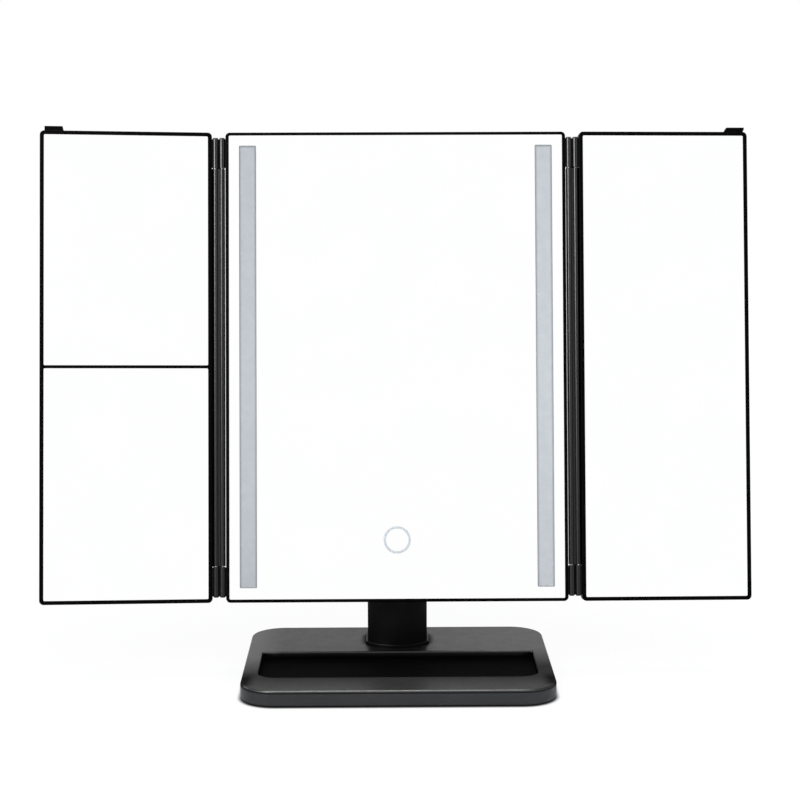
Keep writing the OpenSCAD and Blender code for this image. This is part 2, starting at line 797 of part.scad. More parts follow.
module neck() {
    color(plastic) difference() {
        union() {
            intersection() {
                linear_extrude(shaft_z) neck_plan();
                across(neck_w) neck_side();
            }
            translate([0, 0, deck_z + collar_h]) collar();
            translate([0, shaft_y, shaft_z]) rotate([0, 90, 0])
                cylinder(r = knuckle_r, h = neck_w, center = true);
        }
        translate([0, shaft_y, shaft_z]) rotate([0, 90, 0])
            cylinder(r = shaft_r + shaft_gap, h = neck_w + 2 * over, center = true);
        // hollow behind the front wall, round the two cover bosses
        difference() {
            intersection() {
                across(neck_inner) translate([-neck_wall, 0]) neck_side();
                box([-neck_w, neck_y + neck_wall + 4.5, neck_open_low + 1.5],
                    [neck_w, neck_y + 2 * neck_foot, neck_open_high - 1.5]);
            }
            for (z = boss_z)
                translate([0, neck_y, z]) rotate([-90, 0, 0]) cylinder(r = 3, h = neck_foot);
        }
        across(neck_inner) neck_rear_strip(neck_open_low, neck_open_high, neck_wall);
        for (z = boss_z)
            translate([0, neck_y + 8, z]) rotate([-90, 0, 0]) cylinder(r = 1.05, h = neck_foot);
        for (x = [-1, 1])
            translate([x * foot_screw_x, foot_screw_y, deck_z - over]) cylinder(r = 1.3, h = 3.5 + over);
    }
}

module neck_cover() {
    color("#1d1e20") difference() {
        across(neck_inner - seat)
            neck_rear_strip(neck_open_low + seat, neck_open_high - seat, neck_wall - seat);
        for (z = boss_z)
            translate([0, neck_y + 8, z]) rotate([-90, 0, 0]) cylinder(r = 1.4, h = 2 * neck_foot);
    }
}

// Rear face of the neck at height z
function rear_y(z) = neck_y + neck_foot + (shaft_y + knuckle_r * 0.95 - neck_y - neck_foot)
    * (z - deck_z) / (shaft_z - knuckle_r * 0.3 - deck_z);

module neck_screws() {
    color("silver") {
        for (z = boss_z)
            translate([0, rear_y(z) + 0.5, z]) rotate([90, 0, 0]) screw(2.4, 1.2, 1, 8);
        for (x = [-1, 1])
            translate([x * foot_screw_x, foot_screw_y, deck_z - deck_t]) screw(2.6, 1.2, 1.2, deck_t + 3);
    }
}

// ------------------------------------------------------------------ wing hinges

// Two ribs round the pins, on a bar that runs on behind the barrels; the bar stops short of the
// wing's side, so that the wing's guard can pass it
module spine() {
    difference() {
        union() {
            translate([0, spine_end, 0]) rotate([-90, 0, 0]) linear_extrude(spine_len) {
                for (x = [0, link]) translate([x, 0]) circle(spine_rib_r);
                translate([-spine_rib_r, 0]) square([spine_rib_r + link - rib_clear, spine_back]);
                translate([0, -spine_rib_r * 0.2]) square([link, spine_rib_r]);
            }
            box([rib_clear, spine_tip, -spine_back], [link - rib_clear, panel_h - spine_tip, bar_z]);
        }
        for (x = [0, link], y = [spine_end - over, panel_h - spine_end - pin_hold])
            translate([x, y, 0]) rotate([-90, 0, 0]) cylinder(r = pin_r + held_gap, h = pin_hold + over);
    }
}

module hinge_pins() {
    for (x = [0, link], y = [spine_end - pin_reach, panel_h - spine_end - pin_hold])
        translate([x, y, 0]) rotate([-90, 0, 0]) cylinder(r = pin_r, h = pin_len);
}

module left_spine() { color("#2a2b2e") spine_place(LEFT) spine(); }
module right_spine() { color("#2a2b2e") spine_place(RIGHT) spine(); }
module left_hinge_pins() { color("silver") spine_place(LEFT) hinge_pins(); }
module right_hinge_pins() { color("silver") spine_place(RIGHT) hinge_pins(); }

// ------------------------------------------------------------------ wings

wing_hole_w = wing_w - 2 * wing_rim_side;
wing_hole_h = panel_h - 2 * wing_rim_end;
half_hole_h = (wing_hole_h - divider_w) / 2;

// Finger tab on the top edge; its inner end slopes in, its outer end leans out
module finger_tab(slope, lean_out) {
    far = wing_w - tab_in;
    translate([0, 0, -wing_split + 0.1]) linear_extrude(wing_split - 0.6) polygon([
        [far - tab_len, panel_h - 0.6], [far - tab_len + slope, panel_h + tab_up],
        [far + lean_out, panel_h + tab_up], [far + lean_out, panel_h + tab_up - 0.9], [far, panel_h - 0.6]
    ]);
}

module wing_frame(slope, lean_out) {
    difference() {
        translate([wing_w / 2, 0, 0])
            frame(wing_w, wing_split, wing_rim_side, wing_rim_end, wing_rim_end, wing_pocket);
        at_wing_edge() at_barrels() barrel_web(held_gap);
    }
    // guard behind the spine's rib
    translate([-pin_in, 0, -pin_depth])
        box([guard_in, spine_end - barrel_gap, guard_z - guard_t],
            [pin_in + case_wall / 2, panel_h - spine_end + barrel_gap, guard_z]);
    finger_tab(slope, lean_out);
}

module left_frame() {
    color(plastic) wing_place(LEFT) {
        wing_frame(slope = 0.6, lean_out = 0);
        // bar between the two panes, with its ledge
        box([wing_rim_side - 0.2, (panel_h - divider_w) / 2, -wing_pocket],
            [wing_w - wing_rim_side + 0.2, (panel_h + divider_w) / 2, -0.1]);
        box([wing_rim_side - 0.2, panel_h / 2 - ledge_w, -wing_pocket - ledge_t],
            [wing_w - wing_rim_side + 0.2, panel_h / 2 + ledge_w, -wing_pocket]);
    }
}

module right_frame() {
    color(plastic) wing_place(RIGHT) wing_frame(slope = 1.6, lean_out = 0.9);
}

module left_barrels() { color("#2a2b2e") wing_place(LEFT) at_wing_edge() at_barrels() barrel(); }
module right_barrels() { color("#2a2b2e") wing_place(RIGHT) at_wing_edge() at_barrels() barrel(); }

module wing_back() {
    in_w = wing_w - 2 * (case_wall + 0.5);
    rib_high = -wing_pocket - ledge_t - 0.3;
    translate([wing_w / 2, 0, 0]) back_shell(wing_w, wing_t, wing_split, wing_floor, wing_lip);
    // stiffening ribs
    for (i = [1 : 3])
        box([wing_w / 2 - in_w / 2, panel_h * i / 4 - rib_t / 2, -wing_floor - 0.2],
            [wing_w / 2 + in_w / 2, panel_h * i / 4 + rib_t / 2, rib_high]);
    box([(wing_w - rib_t) / 2, case_wall + 0.5, -wing_floor - 0.2],
        [(wing_w + rib_t) / 2, panel_h - case_wall - 0.5, rib_high]);
}

module left_back() { color("#1d1e20") wing_place(LEFT) wing_back(); }
module right_back() { color("#1d1e20") wing_place(RIGHT) wing_back(); }

module left_pane_at(up) {
    translate([wing_w / 2, panel_h / 2 + up * (half_hole_h + divider_w) / 2, 0]) children();
}

module left_upper_mirror() {
    color(silvered) wing_place(LEFT) left_pane_at(1) pane(wing_hole_w, half_hole_h, wing_pane_t);
}

module left_lower_mirror() {
    color(silvered) wing_place(LEFT) left_pane_at(-1) pane(wing_hole_w, half_hole_h, wing_pane_t);
}

module right_mirror() {
    color(silvered) wing_place(RIGHT) translate([wing_w / 2, panel_h / 2, 0])
        pane(wing_hole_w, wing_hole_h, wing_pane_t);
}

module left_tape() {
    color("dimgray") wing_place(LEFT) for (up = [-1, 1])
        left_pane_at(up) tape_ring(wing_hole_w, half_hole_h, pane_sink + wing_pane_t);
}

module right_tape() {
    color("dimgray") wing_place(RIGHT) translate([wing_w / 2, panel_h / 2, 0])
        tape_ring(wing_hole_w, wing_hole_h, pane_sink + wing_pane_t);
}

// ------------------------------------------------------------------ base

// Tray pocket with unequal corners and a brim rounded by r, grown by o, from the deck down to z = low
module tray_form(o, low, r) {
    w = tray_w / 2 + o;
    front = -tray_d / 2 - o;
    back = tray_d / 2 + o;
    rf = tray_r_front + o;
    rb = tray_r_back + o;
    translate([0, tray_y, deck_z]) {
        for (s = [0, 1]) mirror([s, 0, 0]) {
            translate([0, back - rb, 0]) rotate([90, 0, 0]) linear_extrude(back - rb - front - rf)
                tray_half(w, low, r);
            translate([w - rf, front + rf, 0]) rotate_extrude() tray_half(rf, low, r);
            translate([w - rb, back - rb, 0]) rotate_extrude() tray_half(rb, low, r);
        }
        rotate([90, 0, -90]) linear_extrude(2 * (w - rf), center = true) tray_half(-front, low, r);
        rotate([90, 0, 90]) linear_extrude(2 * (w - rb), center = true) tray_half(back, low, r);
    }
}

// Half section of the tray pocket below the deck, flaring in a round of radius r at its brim
module tray_half(half, low, r) {
    translate([0, low - deck_z]) square([half, deck_z - low + (r > 0 ? over : 0)]);
    translate([half + r, -r]) mirror([1, 0]) corner_cut(r);
}

module at_base_screws() {
    for (x = [-1, 1], y = [-1, 1]) translate([x * base_screw_x, y * base_screw_y, 0]) children();
}

module base_top() {
    color("#242529") difference() {
        union() {
            translate([0, 0, deck_z]) plate(base_w, base_d, deck_rim, base_r, front = deck_round);
            block(base_w - 0.6, base_d - 0.6, base_r - 0.3, shell_top, deck_z - deck_rim + 0.2);
            block(base_w - 2 * base_wall - 0.3, base_d - 2 * base_wall - 0.3, base_r - base_wall - 0.15,
                deck_z - deck_t, shell_top + 0.1);
            tray_form(tub_wall, pad_proud + shell_floor, 0);
            at_base_screws() translate([0, 0, pad_proud + shell_floor])
                cylinder(r = 3.2, h = deck_z - 1 - pad_proud - shell_floor);
        }
        tray_form(0, tray_z, brim_round);
        at_base_screws() translate([0, 0, pad_proud]) cylinder(r = 1.05, h = deck_z - pad_proud - 1.2);
        for (x = [-1, 1])
            translate([x * foot_screw_x, foot_screw_y, deck_z - deck_t - over])
                cylinder(r = 1.5, h = deck_t + 2 * over);
    }
}

module base_shell() {
    color("#242529") difference() {
        translate([0, 0, shell_top]) plate(base_w, base_d, shell_top - pad_proud, base_r, back = 0.6);
        block(base_w - 2 * base_wall, base_d - 2 * base_wall, base_r - base_wall,
            pad_proud + shell_floor, shell_top + over);
        block(pad_w + 0.4, pad_d + 0.4, 8, -over, pad_t);
        at_base_screws() {
            translate([0, 0, -over]) cylinder(r = 1.4, h = 4);
            translate([0, 0, pad_proud]) cylinder(r1 = 2.4, r2 = 1.4, h = 1);
        }
    }
}

module base_weight() {
    color("slategray") difference() {
        translate([0, weight_y + weight_d / 2, 0])
            block(weight_w, weight_d, 3, pad_proud + shell_floor, pad_proud + shell_floor + weight_t);
        for (x = [-1, 1])
            translate([x * foot_screw_x, foot_screw_y, 0]) cylinder(r = 3.2, h = deck_z);
    }
}

module anti_slip_pad() {
    color("#101010") block(pad_w, pad_d, 8, 0, pad_t);
}

module tray_liner() {
    gap_in = 0.25;
    w = tray_w - 2 * gap_in;
    color("#0c0c0d") intersection() {
        tray_form(-gap_in, tray_z - over, 0);
        translate([0, tray_y, 0]) block(w + over, tray_d + over, 0.5, tray_z, tray_z + liner_t);
    }
}

module base_screws() {
    color("silver") at_base_screws() {
        translate([0, 0, pad_proud]) cylinder(r1 = 2.3, r2 = 1.3, h = 1);
        translate([0, 0, pad_proud + 1]) cylinder(r = 1, h = 3.6);
    }
}

// ------------------------------------------------------------------ assembly

base_shell();
base_top();
base_weight();
anti_slip_pad();
tray_liner();
base_screws();
neck();
neck_cover();
neck_screws();
center_frame();
center_barrels();
center_back();
center_mirror();
center_tape();
light_windows();
touch_ring();
touch_pad();
led_boards();
led_chips();
control_board();
usb_socket();
center_screws();
batteries();
battery_contacts();
battery_door();
tilt_bracket();
bracket_screws();
tilt_shaft();
tilt_nut();
tilt_washers();
left_spine();
left_hinge_pins();
right_spine();
right_hinge_pins();
left_frame();
left_barrels();
left_back();
left_upper_mirror();
left_lower_mirror();
left_tape();
right_frame();
right_barrels();
right_back();
right_mirror();
right_tape();
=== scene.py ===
# %% [markdown]
# # A trifold vanity mirror, finished in Blender
# The mirror arrives as solids that were drawn in a CAD program: every panel, pane, hinge and screw already
# has its real shape and size. What is left for Blender is what light does to them: satin and grained black
# plastic, silvered glass, milky light strips, plated steel. Each step below says what the real surface is,
# how it could be made, and why it is made this way here.

# %% Load the solids
import json
import math

import bpy
from mathutils import Matrix, Vector


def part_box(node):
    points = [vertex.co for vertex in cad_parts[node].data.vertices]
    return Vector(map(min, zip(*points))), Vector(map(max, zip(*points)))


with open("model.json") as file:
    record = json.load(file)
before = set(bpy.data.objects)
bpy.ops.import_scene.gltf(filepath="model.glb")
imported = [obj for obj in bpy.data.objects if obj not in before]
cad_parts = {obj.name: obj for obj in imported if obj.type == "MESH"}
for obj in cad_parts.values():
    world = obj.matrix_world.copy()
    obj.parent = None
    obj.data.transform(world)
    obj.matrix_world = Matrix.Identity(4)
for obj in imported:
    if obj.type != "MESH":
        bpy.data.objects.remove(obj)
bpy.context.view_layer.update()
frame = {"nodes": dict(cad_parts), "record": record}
nodes = frame["nodes"]
scene = bpy.context.scene

# %% [markdown]
# ## Camera
# The picture to match was taken from about 0.9 m in front and a little above, with a mild telephoto lens.
# The camera could be placed by eye, but a mirror with long straight edges shows every error, so its place,
# its three turns and its focal length come from a fit of the solids' corners to the picture.
# Pan, pitch and roll are turned into the camera's axes directly, which keeps their order plain.

# %% Place the camera
CAMERA_AT = Vector((-0.00643, -0.90447, 0.26147))
PITCH_DOWN = 0.13721
PAN_LEFT = -0.00878
ROLL = -0.00324
FOCAL_PX = 1875.77
FRAME_PX = 800
SENSOR_MM = 36.0
NEAREST = 0.01
FARTHEST = 50


def camera_axes(pitch, pan, roll):
    """Right, up and backward axes of a camera that looks along +Y when all three turns are zero."""
    turn = Matrix.Rotation(pan, 3, "Z")
    forward = turn @ Vector((0, math.cos(pitch), -math.sin(pitch)))
    up = turn @ Vector((0, math.sin(pitch), math.cos(pitch)))
    right = turn @ Vector((1, 0, 0))
    rolled_right = math.cos(roll) * right + math.sin(roll) * up
    rolled_up = math.cos(roll) * up - math.sin(roll) * right
    return rolled_right, rolled_up, -forward


camera_data = bpy.data.cameras.new("camera")
camera_data.sensor_fit = "HORIZONTAL"
camera_data.sensor_width = SENSOR_MM
camera_data.lens = FOCAL_PX * SENSOR_MM / FRAME_PX
camera_data.clip_start = NEAREST
camera_data.clip_end = FARTHEST
camera = bpy.data.objects.new("camera", camera_data)
axes = Matrix(camera_axes(PITCH_DOWN, PAN_LEFT, ROLL)).transposed()
camera.matrix_world = Matrix.Translation(CAMERA_AT) @ axes.to_4x4()
scene.collection.objects.link(camera)
scene.camera = camera
print("lens", round(camera_data.lens, 1), "mm")

# %% [markdown]
# ## Node helpers
# The world, the floor and every finish below are small graphs of nodes. Each graph could be written out node
# by node, but the same few moves come back all the time, so they are named here once: add a node with its
# values, do a sum, lay a number or a colour between two limits, mix or dim a colour, find a place on the
# object.


# %% Helpers for nodes
def add(tree, kind, values=None, **settings):
    """Adds a node, sets its properties, then fills its inputs from numbers or from other nodes' outputs."""
    node = tree.nodes.new(kind)
    for key, value in settings.items():
        setattr(node, key, value)
    for key, value in (values or {}).items():
        if isinstance(value, bpy.types.NodeSocket):
            tree.links.new(value, node.inputs[key])
        else:
            node.inputs[key].default_value = value
    return node


def calc(tree, operation, a, b=0.0):
    """One step of arithmetic."""
    return add(tree, "ShaderNodeMath", {0: a, 1: b}, operation=operation).outputs[0]


def between(tree, value, low, high, start=0.3, end=0.7):
    """Lays a value that runs from start to end between two limits."""
    values = {"Value": value, "From Min": start, "From Max": end, "To Min": low, "To Max": high}
    return add(tree, "ShaderNodeMapRange", values).outputs["Result"]


def tint(tree, value, dark, light, start=0.3, end=0.7):
    """Lays a value that runs from start to end between two colours."""
    ramp = add(tree, "ShaderNodeValToRGB", {"Fac": value})
    for element, stop, colour in zip(ramp.color_ramp.elements, (start, end), (dark, light)):
        element.position = stop
        element.color = (*colour, 1)
    return ramp.outputs["Color"]


def mix_colour(tree, share, first, second):
    """The first colour, or the second where the share is 1."""
    values = {"Factor": share, "A": first, "B": second}
    return add(tree, "ShaderNodeMix", values, data_type="RGBA").outputs["Result"]


def dim(tree, colour, by):
    """A colour made darker or lighter by a factor."""
    return add(tree, "ShaderNodeVectorMath", {0: colour, "Scale": by}, operation="SCALE").outputs[0]


def place(tree, scale=(1, 1, 1), turn=(0, 0, 0)):
    """Object coordinates, in metres, scaled or turned for a texture."""
    values = {"Vector": add(tree, "ShaderNodeTexCoord").outputs["Object"], "Scale": scale, "Rotation": turn}
    return add(tree, "ShaderNodeMapping", values).outputs["Vector"]


def position(tree):
    """X, Y and Z on the object, in metres."""
    return add(tree, "ShaderNodeSeparateXYZ", {0: place(tree)}).outputs


def noise(tree, size, detail=2.0, where=None, seed=0.0):
    """Noise whose grains are about size metres across."""
    values = {"Scale": 1.0 / size, "Detail": detail, "Vector": where or place(tree), "W": seed}
    return add(tree, "ShaderNodeTexNoise", values, noise_dimensions="4D").outputs["Fac"]


def seen_directly(tree):
    """1 for the camera, for mirrors and through glass, 0 for all other light."""
    rays = add(tree, "ShaderNodeLightPath").outputs
    seen = calc(tree, "MAXIMUM", rays["Is Camera Ray"], rays["Is Glossy Ray"])
    return calc(tree, "MAXIMUM", seen, rays["Is Transmission Ray"])


print("node helpers ready")

# %% [markdown]
# ## Studio
# The object stands in a white product studio. A white sweep could be built from a bent sheet, but then every
# turn of the camera would show its edge. Here a flat floor and the world's colour stand for it: the world is
# plain white to the camera, to mirrors and through glass, and a soft grey to everything else, so that it
# lights the object at a plain level without washing it out.

# %% World
SKY_LIGHT = 0.75
SKY_COLOUR = (0.95, 0.975, 1.0, 1)
WHITE = (1, 1, 1, 1)

world = bpy.data.worlds.new("white_studio")
world.use_nodes = True
scene.world = world
tree = world.node_tree
tree.nodes.clear()
lighting = add(tree, "ShaderNodeBackground", {"Color": SKY_COLOUR, "Strength": SKY_LIGHT})
shown = add(tree, "ShaderNodeBackground", {"Color": WHITE, "Strength": 1.0})
values = {0: seen_directly(tree), 1: lighting.outputs[0], 2: shown.outputs[0]}
mixed = add(tree, "ShaderNodeMixShader", values)
add(tree, "ShaderNodeOutputWorld", {0: mixed.outputs[0]})
scene.view_settings.view_transform = "Standard"
print("world light", SKY_LIGHT)

# %% [markdown]
# ## Lamps
# Black plastic shows its shape by what it mirrors, so the studio needs two kinds of light. Soft boxes light
# the object at a plain level, at which a colour comes out about as it is written. White cards are seen in
# glossy edges and don't light anything: one hangs overhead and draws the bright line along the deck's
# rounded rim, and one stands on the left and draws the upright lines on the hinges' ribs and barrels. Small
# hard lamps would make sharp shadows that a product picture on white doesn't have. A lamp is given by how
# bright its face is, with white as 1, since that is what a glossy edge mirrors back; its power follows from
# its size.

# %% Place the lamps
LAMPS_FACE = Vector((0, 0, 0.12))
POWER_PER_AREA = 4


def soft_box(name, at, width, height, brightness, card=False):
    """A rectangular lamp that faces the object; a card is seen only in reflections."""
    data = bpy.data.lights.new(name, "AREA")
    data.shape = "RECTANGLE"
    data.size = width
    data.size_y = height
    data.energy = brightness * POWER_PER_AREA * width * height
    lamp = bpy.data.objects.new(name, data)
    lamp.location = at
    lamp.rotation_euler = (LAMPS_FACE - Vector(at)).to_track_quat("-Z", "Y").to_euler()
    lamp.visible_diffuse = not card
    scene.collection.objects.link(lamp)


soft_box("left_box", at=(-1.0, -0.85, 0.7), width=0.6, height=0.8, brightness=0.9)
soft_box("right_box", at=(1.1, -0.85, 0.7), width=0.6, height=0.8, brightness=2.0)
soft_box("overhead_box", at=(0.1, 0.35, 1.45), width=0.5, height=0.25, brightness=6.0)
soft_box("overhead_card", at=(-0.1, 0.1, 1.45), width=1.0, height=0.4, brightness=16.0, card=True)
soft_box("left_card", at=(-0.84, -0.9, 0.78), width=0.6, height=0.6, brightness=30.0, card=True)

# %% [markdown]
# ## A finish
# Every finish below is one Principled shader with a few nodes in front of it. The node trees could share one
# shader group, but separate materials keep the names that the solids ask for. Three helpers start one, wire
# an output to its shader and give it a relief; the dictionary keeps each under its slot's name. Plain numbers
# that hold all over a surface go straight onto the shader's sockets.

# %% Helpers for finishes
finishes = {}


def start_material(name, roughness, specular=0.5, metallic=0.0):
    """A material with one Principled shader, kept under its name, and its node tree."""
    material = bpy.data.materials.new(name)
    material.use_nodes = True
    tree = material.node_tree
    shader = tree.nodes["Principled BSDF"]
    shader.inputs["Roughness"].default_value = roughness
    shader.inputs["Specular IOR Level"].default_value = specular
    shader.inputs["Metallic"].default_value = metallic
    finishes[name] = material
    return tree, shader


def wire(tree, output, shader, socket):
    """Lets a node's output drive one of the shader's sockets."""
    tree.links.new(output, shader.inputs[socket])


def bump(tree, shader, height, depth):
    """Gives the shader a relief of a real depth in metres."""
    relief = add(tree, "ShaderNodeBump", {"Height": height, "Distance": depth, "Strength": 1.0})
    wire(tree, relief.outputs["Normal"], shader, "Normal")


print("finish helpers ready")

# %% [markdown]
# ## Satin black plastic
# The frames and the neck are injection moulded in black ABS with a satin tool surface. From a step away they
# are nearly black, with a thin pale line where a rounded edge catches the sky. The colour could be one flat
# value, but a real moulding has faint clouds where the melt cooled, and a fine grain of under half a
# millimetre. Its reflection is kept weak, because satin black swallows most of what it sees. The neck's
# colour is painted paler towards its top, which is painted light.

# %% Moulded plastics
CLOUD_SIZE = 0.018
GLOSS_PATCH = 0.006
GLOSS_SPREAD = 0.025


def moulded_plastic(name, dark, light, roughness, specular, grain, depth, painted_light_by_height=None):
    """Plastic with faint clouds in colour and gloss and a fine grain; painted light may lighten its colour
    with height.
    """
    tree, shader = start_material(name, roughness, specular)
    colour = tint(tree, noise(tree, CLOUD_SIZE, detail=3.0), dark, light)
    if painted_light_by_height:
        low, high, foot, head = painted_light_by_height
        # painted light: the colour is dimmed low down and lifted higher up
        colour = dim(tree, colour, between(tree, position(tree)["Z"], low, high, start=foot, end=head))
    wire(tree, colour, shader, "Base Color")
    patches = noise(tree, GLOSS_PATCH, seed=3.0)
    gloss = between(tree, patches, roughness - GLOSS_SPREAD, roughness + GLOSS_SPREAD)
    wire(tree, gloss, shader, "Roughness")
    bump(tree, shader, noise(tree, grain, detail=3.0, seed=7.0), depth)


moulded_plastic("black_plastic", dark=(0.0005, 0.0005, 0.0006), light=(0.0012, 0.0012, 0.0014),
                roughness=0.4, specular=0.02, grain=0.0004, depth=0.000003)
# the neck's colour carries painted light, paler towards its top
moulded_plastic("neck_plastic", dark=(0.0038, 0.0038, 0.0039), light=(0.0056, 0.0056, 0.0058),
                roughness=0.4, specular=0.05, grain=0.0004, depth=0.000004,
                painted_light_by_height=(0.45, 3.2, 0.012, 0.04))
moulded_plastic("black_back", dark=(0.007, 0.007, 0.0078), light=(0.0105, 0.0105, 0.0115),
                roughness=0.46, specular=0.3, grain=0.0005, depth=0.00003)
moulded_plastic("shell_plastic", dark=(0.031, 0.0315, 0.034), light=(0.038, 0.0385, 0.0415),
                roughness=0.45, specular=0.15, grain=0.0004, depth=0.00001)
print("plastics", sorted(finishes))

# %% [markdown]
# ## The base's deck: painted shine and shade
# The deck is lighter than anything else that is black here, and yet the neck mirrors in it as pure black: it
# has no colour of its own under the gloss. That is how a dark metallic lacquer looks. A metal shader gives
# it, with a low reflection straight on and one that rises less than glass would towards grazing, which is
# what the shader's specular tint sets on a metal. The deck's changing reflection is painted on by place: the
# share of metal is full behind the tray and gone halfway along it, a little sooner on the right, comes back
# on the front lip and is cut again on the two front corners as painted shade. One even gloss would be simpler
# and would miss all of that. It also falls off where the deck meets the neck and in the tray's well, which an
# occlusion node finds without any measuring: painted shade.

# %% Deck shine
# limits of the painted shine, of its lip, of the painted shade on the front corners and in the well
SHINE_LEAST, SHINE_MOST = 0.07, 1.0
SHINE_GONE, SHINE_FULL = -0.0245, 0.0065
SHINE_SLANT = 0.09
LIP_START, LIP_END, LIP_SHINE = -0.0365, -0.0565, 0.62
CORNER_INSIDE, CORNER_OUTSIDE, CORNER_LOSS = 0.068, 0.072, 0.75
CORNER_BACK, CORNER_FRONT = (-0.027, -0.037), (-0.046, -0.051)
WELL_REACH = 0.006
WELL_SHADE = (0.05, 1.0)
WELL_CLOSED, WELL_OPEN = 0.6, 0.9

tree, shader = start_material("deck_plastic", 0.4, 0.0)
shader.inputs["Specular Tint"].default_value = (0.88, 0.88, 0.875, 1)
at = position(tree)
# painted reflection: the share of metal follows the place on the deck, slanting a little across it
along = calc(tree, "SUBTRACT", at["Y"], calc(tree, "MULTIPLY", at["X"], SHINE_SLANT))
painted_shine = between(tree, along, SHINE_LEAST, SHINE_MOST, start=SHINE_GONE, end=SHINE_FULL)
painted_lip_shine = between(tree, at["Y"], 0.0, LIP_SHINE, start=LIP_START, end=LIP_END)

# painted shade: the shine is cut on the two front corners
outwards = calc(tree, "ABSOLUTE", at["X"])
painted_corner_shade = between(tree, outwards, 0.0, CORNER_LOSS, start=CORNER_INSIDE, end=CORNER_OUTSIDE)
for limits, ends in (((0.0, 1.0), CORNER_BACK), ((1.0, 0.0), CORNER_FRONT)):
    painted_corner_shade = calc(tree, "MULTIPLY", painted_corner_shade, between(tree, at["Y"], *limits, start=ends[0], end=ends[1]))

# painted shade: the occlusion takes shine and colour away near the neck and in the tray's well
occlusion = add(tree, "ShaderNodeAmbientOcclusion", {"Distance": WELL_REACH}).outputs["AO"]
painted_shade_factor = between(tree, occlusion, *WELL_SHADE, start=WELL_CLOSED, end=WELL_OPEN)
painted_shade_factor = calc(tree, "MULTIPLY", painted_shade_factor, calc(tree, "SUBTRACT", 1.0, painted_corner_shade))
print("deck shines from y", SHINE_GONE, "to", SHINE_FULL, "and again from", LIP_START, "to", LIP_END)

# %% [markdown]
# ## The base's deck: lacquer and painted light
# The metal's own colour is what is seen straight on. One dark grey would do from afar, but here the grey has
# faint clouds, painted light lifts it towards the deck's left and right ends, and a painted highlight makes
# the rounded rim above the seam lighter still, which draws the pale line along the front. The painted shade
# of the well and the front corners dims it too. A faint grain of about a millimetre runs through the shine.

# %% Deck lacquer
RIM_START, RIM_END = -0.0568, -0.0576
SEAM_TOP, RIM_FOOT = 0.0071, 0.0076
# colour of the painted highlight on the rounded rim
PAINTED_RIM_HIGHLIGHT = (0.06, 0.06, 0.061, 1)
# painted light that lifts the grey towards the deck's left and right ends
LEFT_PAINTED_LIGHT, LEFT_EDGE, LEFT_INSIDE = 0.045, -0.072, -0.058
RIGHT_PAINTED_LIGHT, RIGHT_START, RIGHT_END = 0.018, 0.0, 0.06
DECK_GRAIN, GRAIN_SPREAD = 0.0011, 0.14
DECK_ROUGHNESS = (0.38, 0.42)
SKIN_GRAIN, SKIN_DEPTH = 0.0006, 0.000008

grains = between(tree, noise(tree, DECK_GRAIN, detail=3.0, seed=5.0), 1 - GRAIN_SPREAD, 1 + GRAIN_SPREAD)
# the share of metal holds the painted shine and painted shade, with a real grain through it
painted_shine_and_grain = calc(tree, "ADD", painted_shine, painted_lip_shine)
painted_shine_and_grain = calc(tree, "MULTIPLY", painted_shine_and_grain, calc(tree, "MULTIPLY", painted_shade_factor, grains))
wire(tree, calc(tree, "MINIMUM", painted_shine_and_grain, 1.0), shader, "Metallic")

clouds = tint(tree, noise(tree, CLOUD_SIZE, detail=3.0), (0.021, 0.021, 0.0212), (0.027, 0.0268, 0.027))
# painted light: the grey is lifted towards the deck's left and right ends
left = between(tree, at["X"], LEFT_PAINTED_LIGHT, 0.0, start=LEFT_EDGE, end=LEFT_INSIDE)
right = between(tree, at["X"], 0.0, RIGHT_PAINTED_LIGHT, start=RIGHT_START, end=RIGHT_END)
painted_end_light = calc(tree, "MULTIPLY", painted_shine, calc(tree, "ADD", left, right))
lacquer_and_painted_light = add(tree, "ShaderNodeVectorMath", {0: clouds, 1: painted_end_light}, operation="ADD").outputs[0]
# painted highlight: the rounded rim above the seam is given a lighter grey
to_rim = between(tree, at["Y"], 0.0, 1.0, start=RIM_START, end=RIM_END)
above_seam = between(tree, at["Z"], 0.0, 1.0, start=SEAM_TOP, end=RIM_FOOT)
lacquer_and_painted_light = mix_colour(tree, calc(tree, "MULTIPLY", to_rim, above_seam), lacquer_and_painted_light, PAINTED_RIM_HIGHLIGHT)
# painted shade: the colour is dimmed in the well, at the neck and on the front corners
wire(tree, dim(tree, lacquer_and_painted_light, painted_shade_factor), shader, "Base Color")
wire(tree, between(tree, noise(tree, GLOSS_PATCH, seed=3.0), *DECK_ROUGHNESS), shader, "Roughness")
bump(tree, shader, noise(tree, SKIN_GRAIN, detail=3.0, seed=7.0), SKIN_DEPTH)
print("deck lacquer ready")

# %% [markdown]
# ## Glossy hinge bars
# The spine bars are drawn through a die, so their faint marks all run lengthwise. The marks could be cut as
# grooves, but they are far finer than a pixel. Noise that is squeezed across the bar and stretched along it
# gives exactly that. The bars are glossier than the frames, which is why their two ribs show as bright lines
# in the picture.

# %% Drawn bar
STREAK_WIDTH = 0.0004
ALONG_BAR = (1, 1, 0.02)
BAR_ROUGHNESS = (0.28, 0.33)
STREAK_DEPTH = 0.000003

tree, shader = start_material("hinge_black", 0.3, 0.26)
streaks = noise(tree, STREAK_WIDTH, detail=4.0, where=place(tree, scale=ALONG_BAR))
wire(tree, tint(tree, streaks, (0.003, 0.003, 0.0034), (0.006, 0.006, 0.0066)), shader, "Base Color")
wire(tree, between(tree, streaks, *BAR_ROUGHNESS), shader, "Roughness")
bump(tree, shader, streaks, STREAK_DEPTH)
print("drawn bar ready")

